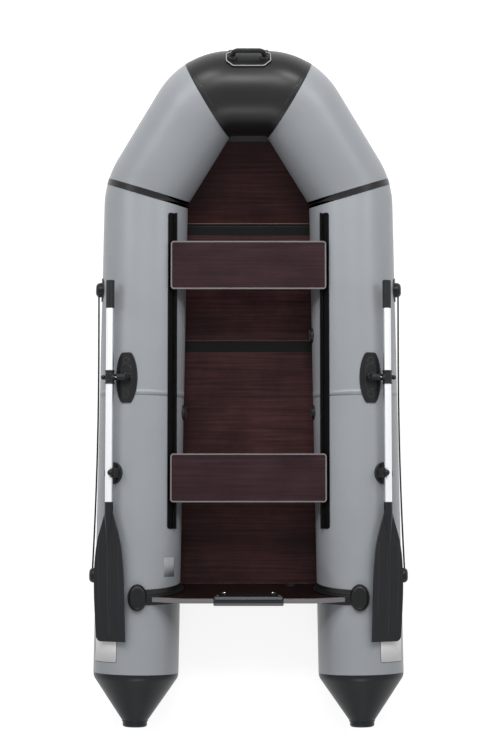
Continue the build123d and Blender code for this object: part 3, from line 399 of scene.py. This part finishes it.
ink = moulded("printed_ink", "pvc_black", "#141416", "#1e1e21", 0.4, 1.0, 0.02, 0.2, IOR=1.5, **SHADED_REFLECTION)
clear_vinyl = moulded("clear_vinyl_plate", "pvc_grey", "#9a9da1", "#a4a7ab", 0.42, 1.0, 0.02, 0.2, IOR=1.5)
# Pale bead that paints the highlight along the bow handle's rim.
highlight_bead_finish = moulded("pale_bead_painted_highlight", "grey_edging", "#9b9b9f", "#adadb1", 0.35, 0.8, 0.03, 0.3, IOR=1.5)
birch_edge = moulded("varnished_birch_edge", "anti_slip_ply", "#5d4330", "#8a6a50", 0.4, 2.0, 0.1, 0.3, IOR=1.5)
anodised = drawn_metal("anodised_aluminium", "aluminium_tube", "#e2e4e8", "#ecedf0", 0.3, (900, 12, 900))
stainless = drawn_metal("stainless_steel", "steel", "#d4d4d6", "#efeff0", 0.22, (300, 300, 300))
rope_yarn = twisted_rope("polypropylene_rope", "black_rope")

# ---------------------------------------------------------------- grab lines

# The line's route on the port side, eye to eye
GRAB_LINE = (
    (-0.673, 0.414, 0.2145),
    (-0.6733, 0.322, 0.206),
    (-0.6734, 0.226, 0.1983),
    (-0.6736, 0.124, 0.1916),
    (-0.6740, 0.018, 0.1863),
    (-0.6749, -0.088, 0.1826),
    (-0.6762, -0.196, 0.1806),
    (-0.6781, -0.302, 0.1804),
    (-0.6804, -0.408, 0.1822),
    (-0.6832, -0.512, 0.1859),
    (-0.6864, -0.616, 0.1915),
    (-0.6899, -0.714, 0.1988),
    (-0.6933, -0.806, 0.2074),
)
ROPE_R = 0.004
LAY = 0.032                          # one full turn of the rope's three strands
STRAND_DEPTH = 0.13                  # how deep the grooves between strands are, as a share of the radius


def smooth_line(name, points):
    """Points along the NURBS curve whose control points these are."""
    curve = bpy.data.curves.new(name, "CURVE")
    curve.dimensions = "3D"
    curve.resolution_u = 24
    spline = curve.splines.new("NURBS")
    spline.points.add(len(points) - 1)
    for point, place in zip(spline.points, points):
        point.co = (*place, 1)
    spline.order_u = 3
    spline.use_endpoint_u = True
    holder = bpy.data.objects.new(name, curve)
    mesh = bpy.data.meshes.new_from_object(holder)
    line = [vertex.co.copy() for vertex in mesh.vertices]
    bpy.data.objects.remove(holder)
    bpy.data.curves.remove(curve)
    bpy.data.meshes.remove(mesh)
    return line


def twisted(line, radius, lay, around=18):
    """Rings round a line for a three-strand rope."""
    rings = []
    run = 0
    for i, point in enumerate(line):
        ahead = line[min(i + 1, len(line) - 1)] - line[max(i - 1, 0)]
        run += (point - line[i - 1]).length if i else 0
        side = ahead.cross(UP).normalized()
        top = side.cross(ahead).normalized()
        rings.append([])
        for j in range(around):
            turn = 2 * pi * j / around
            groove = abs(sin(1.5 * (turn + 2 * pi * run / lay)))
            reach = radius * (1 - STRAND_DEPTH + STRAND_DEPTH * groove)
            rings[-1].append(point + (side * cos(turn) + top * sin(turn)) * reach)
    return rings


for side, sign in (("left", 1), ("right", -1)):
    route = smooth_line(f"route_{side}", [(x * sign, y, z) for x, y, z in GRAB_LINE])
    fine = [route[0]]
    for here, there in zip(route, route[1:]):
        steps = max(1, round((there - here).length / (LAY / 10)))
        fine += [here.lerp(there, k / steps) for k in range(1, steps + 1)]
    mesh = mesh_through(f"grab_line_rope_{side}", twisted(fine, ROPE_R, LAY), capped=True)
    rope = piece(f"grab_line_rope_{side}", mesh, rope_yarn, stands_for=[f"grab_line_{side}"])

# ---------------------------------------------------------------- turned and swept pieces


def lathe(name, profile, origin, axis, around=96):
    """Mesh turned about an axis from points (distance along it, radius)."""
    axis = Vector(axis).normalized()
    side = axis.cross(UP if abs(axis.z) < 0.9 else Vector((1, 0, 0))).normalized()
    top = side.cross(axis)
    rings = []
    for run, radius in profile:
        turns = [2 * pi * i / around for i in range(around)]
        centre = origin + axis * run
        rings.append([centre + (side * cos(t) + top * sin(t)) * max(radius, 0.0001) for t in turns])
    return mesh_through(name, rings, capped=True)


def rounded(points, radii, steps=6):
    """Profile through points, with each inner corner rounded to its radius."""
    made = [points[0]]
    for before, corner, after, radius in zip(points, points[1:], points[2:], radii):
        a, b, c = Vector(before), Vector(corner), Vector(after)
        into, out = (b - a).normalized(), (c - b).normalized()
        turn = into.angle(out)
        if radius == 0 or turn < 0.001:
            made.append(corner)
            continue
        reach = radius * tan(turn / 2)
        start, end = b - into * reach, b + out * reach
        centre = b + (out - into).normalized() * (radius / cos(turn / 2))
        for i in range(steps + 1):
            spoke = (start - centre).lerp(end - centre, i / steps).normalized() * radius
            made.append(tuple(centre + spoke))
    return [*made, points[-1]]


def sweep(name, path, radius, around=12, closed=False):
    """Round rod through points, radius at each."""
    rings = []
    count = len(path)
    for i, point in enumerate(path):
        before = path[(i - 1) % count] if closed else path[max(i - 1, 0)]
        after = path[(i + 1) % count] if closed else path[min(i + 1, count - 1)]
        ahead = (after - before).normalized()
        side = ahead.cross(UP if abs(ahead.z) < 0.9 else Vector((1, 0, 0))).normalized()
        top = side.cross(ahead)
        turns = [2 * pi * j / around for j in range(around)]
        rings.append([point + (side * cos(t) + top * sin(t)) * radius for t in turns])
    if closed:
        rings.append(rings[0])
    return mesh_through(name, rings, capped=not closed)


# ---------------------------------------------------------------- air tubes

STRIP = 0.0012                       # thickness of a glued strip


def skin(name, stations, radius=TUBE_R, **part):
    """Fabric round the stations, or part of the way round."""
    return mesh_through(name, [ring(station, radius, **part) for station in stations], closed=not part)


def trimmed(name, mesh, *cuts):
    """Copy of a mesh, cut off behind each plane, which is a point and the direction that is kept."""
    work = bmesh.new()
    work.from_mesh(mesh)
    for point, keep in cuts:
        geometry = [*work.verts, *work.edges, *work.faces]
        bmesh.ops.bisect_plane(work, geom=geometry, plane_co=point, plane_no=keep, clear_inner=True)
    made = mesh.copy()
    made.name = name
    work.to_mesh(made)
    work.free()
    return made


def thicken(thickness, *names):
    """Gives pieces a thickness, inwards from the faces that they have."""
    for name in names:
        wall = bpy.data.objects[name].modifiers.new("thickness", "SOLIDIFY")
        wall.thickness = thickness
        wall.offset = -1


seam_point, along_seam = knee.at(0.5)
before_seam = (seam_point - along_seam * SEAM_WIDTH / 2, -along_seam)
after_seam = (seam_point + along_seam * SEAM_WIDTH / 2, along_seam)
side_stations = [(STERN, -AFT), *straight(STERN, knee.start, 60), *knee.stations(0, 1, 24)]
bow_stations = [*knee.stations(0, 1, 24), *straight(knee.end, shoulder.start, 16), *shoulder.stations(0, 0.8, 24)]
PANEL_TURN, PANEL_SHIFT = radians(2), 0.015      # of the bow panel's seam, from the middle of the shoulder's bend
panel_edge, into_panel = shoulder.at(0.5)
into_panel = Matrix.Rotation(PANEL_TURN, 3, UP) @ into_panel
panel_edge = panel_edge - into_panel * PANEL_SHIFT
side_skin = trimmed("side_tube_skin", skin("side_tube_whole", side_stations), before_seam)
bow_skin = trimmed("bow_tube_skin", skin("bow_tube_whole", bow_stations), after_seam, (panel_edge, -into_panel))
pair("side_tube_skin", side_skin, grey_pvc, stands_for=["side_tube_"])
pair("bow_tube_skin", bow_skin, grey_pvc, stands_for=["bow_tube_"])

middle = Vector((0, BOW_Y, TUBE_R + BOW_RISE))
port_half = [*shoulder.stations(0.1, 1, 32), *straight(shoulder.end, middle, 5)]
rings = [ring(station, TUBE_R) for station in port_half]
rings.append(ring((middle, Vector((1, 0, 0))), TUBE_R))
rings += [[Vector((-p.x, p.y, p.z)) for p in points] for points in reversed(rings[:-1])]
mirrored = Matrix.Scale(-1, 3, (1, 0, 0))
panel_cuts = ((panel_edge, into_panel), (mirrored @ panel_edge, mirrored @ into_panel))
bow_panel = trimmed("bow_tube_centre_skin", mesh_through("bow_panel_whole", rings), *panel_cuts)
piece("bow_tube_centre_skin", bow_panel, black_pvc, stands_for=["bow_tube_centre"])

over_seam = skin("seam_band_whole", knee.stations(0, 1, 24), TUBE_R + STRIP)
band_cuts = [(point, -keep) for point, keep in (before_seam, after_seam)]
pair("seam_band_strip", trimmed("seam_band_strip", over_seam, *band_cuts), black_pvc, stands_for=["seam_band_"])

# The bow panel laps over the grey fabric's edge, which shows through it
PANEL_LAP = 0.022
over_lap = skin("panel_lap_whole", shoulder.stations(0.1, 1, 32), TUBE_R + STRIP * 0.7)
lap_cuts = ((panel_edge, into_panel), (panel_edge + into_panel * PANEL_LAP, -into_panel))
pair("bow_panel_lap", trimmed("bow_panel_lap", over_lap, *lap_cuts), black_pvc)

# Where two lengths of fabric lap, a little aft of the rowlocks' middle
LAP_Y, LAP_WIDTH, LAP_PROUD = -0.029, 0.030, 0.00015
lap = [(Vector((-tube_x(y), y, TUBE_R)), -AFT) for y in (LAP_Y - LAP_WIDTH / 2, LAP_Y + LAP_WIDTH / 2)]
pair("lap_seam", skin("lap_seam", lap, TUBE_R + LAP_PROUD), grey_pvc)
for side in ("left", "right"):
    thicken(2 * STRIP, f"seam_band_strip_{side}", f"bow_panel_lap_{side}", f"lap_seam_{side}")


def on_side_tube(name, y, tilts, proud, count=24):
    """Sheet glued on the port tube between two places along it and two tilts outboard of its top."""
    ends = [(Vector((-tube_x(place), place, TUBE_R)), -AFT) for place in y]
    return skin(name, ends, TUBE_R + proud, first=tilts[0], last=tilts[1], count=count)


# Blank labels by the cones, each with a dark printed border, and a blank plate for the load on the port side
LABEL_T = 0.0008
LABEL_Y, LABEL_TILT = (-1.211, -0.995), (24, 69)
pair("stern_label_border", on_side_tube("stern_label_border", LABEL_Y, LABEL_TILT, 0.0004), ink)
inside_y = (LABEL_Y[0] + 0.002, LABEL_Y[1] - 0.002)
inside_tilt = (LABEL_TILT[0] + 0.6, LABEL_TILT[1] - 0.6)
pair("stern_label", on_side_tube("stern_label", inside_y, inside_tilt, 0.0007), white_vinyl)
piece("load_plate_border", on_side_tube("load_plate_border", (-0.836, -0.750), (-60, -40), 0.0004), grey_trim)
piece("load_plate", on_side_tube("load_plate", (-0.8345, -0.7515), (-59.5, -40.5), 0.0006), clear_vinyl)
for side in ("left", "right"):
    thicken(LABEL_T, f"stern_label_border_{side}", f"stern_label_{side}")
thicken(LABEL_T, "load_plate_border", "load_plate")

# ---------------------------------------------------------------- bow

HANDLE_TILT = radians(40)
handle_out = Vector((0, sin(HANDLE_TILT), cos(HANDLE_TILT)))
handle_down = Vector((0, cos(HANDLE_TILT), -sin(HANDLE_TILT)))


def on_handle_base(x, down, height):
    """Point height above the bow tube's skin, x from the middle and down from the handle's axis."""
    reach = TUBE_R + height
    return middle + Vector((x, 0, 0)) + handle_down * down + handle_out * sqrt(reach * reach - down * down)


# Apron of rubber that wraps over the bow below the handle
APRON_X, APRON_T = 0.088, 0.0045
apron = [(Vector((x, BOW_Y, TUBE_R + BOW_RISE)), Vector((1, 0, 0))) for x in (-APRON_X, 0, APRON_X)]
HIGHLIGHT_BEAD_R = 0.0022                      # pale bead round the handle's rim, which paints the highlight along the rim's edge
RIM_HEIGHT = 0.0076                  # of the bead above the tube's skin

apron_skin = skin("bow_apron", apron, TUBE_R + APRON_T, first=58, last=150, count=40)
piece("bow_apron", apron_skin, rubber)
thicken(0.006, "bow_apron")

RIM_X, RIM_Y, RIM_CORNER, RIM_ROUND = 0.0970, 0.0530, 0.0285, 0.0145
rim = [
    (0, -RIM_Y),
    (RIM_X - RIM_CORNER, -RIM_Y),
    (RIM_X, RIM_CORNER - RIM_Y),
    (RIM_X, RIM_Y - RIM_CORNER),
    (RIM_X - RIM_CORNER, RIM_Y),
    (RIM_CORNER - RIM_X, RIM_Y),
    (-RIM_X, RIM_Y - RIM_CORNER),
    (-RIM_X, RIM_CORNER - RIM_Y),
    (RIM_CORNER - RIM_X, -RIM_Y),
    (0, -RIM_Y),
]
rim_path = [on_handle_base(x, down, RIM_HEIGHT) for x, down in rounded(rim, [RIM_ROUND] * 8)[:-1]]
# Bead swept round the handle's rim: a painted highlight along the rim's edge.
piece("handle_rim_highlight_bead", sweep("handle_rim_highlight_bead", rim_path, HIGHLIGHT_BEAD_R, closed=True), highlight_bead_finish)

# ---------------------------------------------------------------- cones at the stern

CONE_LENGTH = STERN_Y - cad_box[0][1]
cone_profile = rounded(
    [
        (0, 0.1),
        (0, TUBE_R - 0.001),
        (0.016, TUBE_R),
        (CONE_LENGTH - 0.030, 0.0575),
        (CONE_LENGTH - 0.024, 0.0575),
        (CONE_LENGTH - 0.022, 0.054),
        (CONE_LENGTH, 0.054),
        (CONE_LENGTH, 0.0),
    ],
    [0.0005, 0.045, 0.002, 0.001, 0.001, 0.010],
)
pair("cone_shell", lathe("cone_shell", cone_profile, STERN, AFT, 120), cone_pvc, stands_for=["stern_cone_"])

# ---------------------------------------------------------------- small fasteners

OAR_X, OAR_Z, OAR_SLOPE = -0.609, 0.38551, 0.020717
ROWLOCK_Y = 0.033
SHAFT_TOP = 0.017


def dome(name, place, direction, radius, height):
    """Round head of a rivet or screw."""
    arc = [radians(turn) for turn in range(0, 91, 15)]
    profile = [(-0.001, radius), *[(height * sin(t), radius * cos(t)) for t in arc]]
    return lathe(name, profile, Vector(place), direction, 24)


def on_oar(y, height):
    """Point above the port oar's axis, which dips towards the stern."""
    return Vector((OAR_X, y, OAR_Z + (y - ROWLOCK_Y) * OAR_SLOPE + height))


pair("shaft_button", dome("shaft_button", on_oar(-0.304, SHAFT_TOP - 0.0006), UP, 0.0035, 0.002), stainless, "oar_")
pair("blade_rivet", dome("blade_rivet", on_oar(-0.530, 0.0186), UP, 0.0045, 0.002), stainless, "oar_")

# Thin ring where the shaft's two tubes join
RING_PROFILE = [(0, 0.0169), (0.0002, 0.0173), (0.0018, 0.0173), (0.002, 0.0169)]
ring_start, ring_end = (on_oar(y, 0) for y in (-0.283, -0.281))
joint_ring = lathe("shaft_joint", RING_PROFILE, ring_start, ring_end - ring_start)
pair("shaft_joint", joint_ring, nylon, "oar_")

# Chamfers along the panels' aft edges, where the birch shows
CHAMFER = [(-0.0006, -0.0002), (0.0026, -0.0002), (0.0026, 0.0004), (-0.0006, -0.0022)]
BOW_PANEL_TOP = 0.0612               # of the raised bow panel at its aft edge
floor_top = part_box("floor_panel_middle")[1][2]
for name in ("bow", "front", "stern"):
    low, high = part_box(f"floor_panel_{name}")
    back, reach = low[1], high[0] - 0.003
    top = floor_top if name != "bow" else BOW_PANEL_TOP
    rings = [[Vector((x, back + y, top + z)) for y, z in CHAMFER] for x in (-reach, 0, reach)]
    piece(f"birch_edge_{name}", mesh_through(f"birch_edge_{name}", rings, capped=True), birch_edge)

# Screws that hold the floor's panels to their hinges
pair("floor_screw", dome("floor_screw", (-0.288, -0.121, floor_top), UP, 0.004, 0.0012), stainless)

# Bolt heads on the transom's inner face
PLATE_BACK = Vector((0, 0.9478, 0.3188)).normalized()
for index, (x, y, z) in enumerate(((-0.105, -0.9072, 0.3400), (-0.128, -0.9290, 0.4050))):
    pair(f"plate_bolt_{index}", dome("plate_bolt", (x, y, z), PLATE_BACK, 0.005, 0.003), stainless)

# ---------------------------------------------------------------- CAD nodes that keep their own shape

FINISHES = {
    "hull_bottom": black_pvc,
    "floor_hinges": hinge_pvc,
    "floor_panel_": floor_ply,
    "transom_board": transom_ply,
    "transom_edge": grey_trim,
    "motor_plate_": plate_board,
    "transom_holder_": rubber,
    "drain_valve": nylon,
    "seat_rail_": rail_pvc,
    "seat_front_board": seat_ply,
    "seat_rear_board": seat_ply,
    "seat_front_edging": grey_trim,
    "seat_rear_edging": grey_trim,
    "seat_front_runners": nylon,
    "seat_rear_runners": nylon,
    "rowlock_base_": rubber,
    "rowlock_lug_": nylon,
    "oar_pin_": stainless,
    "oar_collar_": nylon,
    "oar_shaft_": anodised,
    "oar_grip_": nylon,
    "oar_blade_": nylon,
    "oar_rest_": rubber,
    "rope_eye_": rubber,
    "bow_handle": rubber,
    "air_valve_": nylon,
}
for node_name, node in nodes.items():
    for start, material in FINISHES.items():
        if node_name.startswith(start):
            for slot in node.material_slots:
                slot.material = material

# ---------------------------------------------------------------- studio

PAPER_GLOW = 0.82                    # lifts the paper to white where it is seen, and leaves its shadows
SKY_LIGHT = 0.26                     # what the white surroundings add to the lamps


def seen_directly(tree):
    """1 for the rays that show a thing itself, straight, mirrored or through something clear, and 0 for its light."""
    ray = add(tree, "ShaderNodeLightPath")
    seen = ray.outputs["Is Camera Ray"]
    for kind in ("Is Glossy Ray", "Is Transmission Ray"):
        seen = add(tree, "ShaderNodeMath", {0: seen, 1: ray.outputs[kind]}, operation="MAXIMUM").outputs["Value"]
    return seen


floor_mesh = bpy.data.meshes.new("studio_floor")
REACH = 30
floor_mesh.from_pydata(
    [(-REACH, -REACH, 0), (REACH, -REACH, 0), (REACH, REACH, 0), (-REACH, REACH, 0)], [], [(0, 1, 2, 3)]
)
floor = bpy.data.objects.new("studio_floor", floor_mesh)
scene.collection.objects.link(floor)
floor.location.z = cad_box[0][2] - 0.0005
paper = bpy.data.materials.new("white_paper")
paper.use_nodes = True
tree = paper.node_tree
shader = tree.nodes["Principled BSDF"]
shader.inputs["Base Color"].default_value = linear("#a6a6a6")
shader.inputs["Roughness"].default_value = 0.9
lift = add(tree, "ShaderNodeMath", {0: seen_directly(tree), 1: PAPER_GLOW}, operation="MULTIPLY")
shader.inputs["Emission Color"].default_value = (1, 1, 1, 1)
tree.links.new(lift.outputs["Value"], shader.inputs["Emission Strength"])
floor.data.materials.append(paper)

world = bpy.data.worlds.new("studio")
world.use_nodes = True
scene.world = world
tree = world.node_tree
level = add(tree, "ShaderNodeMix", {0: seen_directly(tree), 2: SKY_LIGHT, 3: 1.0})
background = tree.nodes["Background"]
background.inputs["Color"].default_value = (1, 1, 1, 1)
tree.links.new(level.outputs[0], background.inputs["Strength"])


def area_lamp(name, location, aim, size, watts):
    """Soft box that faces a point."""
    lamp = bpy.data.lights.new(name, "AREA")
    lamp.shape = "RECTANGLE"
    lamp.size, lamp.size_y = size
    lamp.energy = watts
    holder = bpy.data.objects.new(name, lamp)
    scene.collection.objects.link(holder)
    holder.location = location
    holder.rotation_euler = (Vector(aim) - Vector(location)).to_track_quat("-Z", "Y").to_euler()


area_lamp("soft_box_bow", (0, 4.6, 7.0), (0, 0.4, 0.2), (4.0, 1.4), 230)
area_lamp("soft_box_stern", (0, -7.5, 5.5), (0, -0.4, 0.2), (4.0, 1.6), 120)
for side, sign in (("port", -1), ("starboard", 1)):
    area_lamp(f"soft_box_{side}", (4.8 * sign, 2.9, 4.7), (0.3 * sign, 1.0, 0.3), (1.8, 2.2), 80)
    area_lamp(f"soft_box_{side}_bow", (2.5 * sign, 5.7, 4.7), (0, 1.3, 0.4), (1.3, 1.2), 120)

scene.view_settings.view_transform = "Standard"
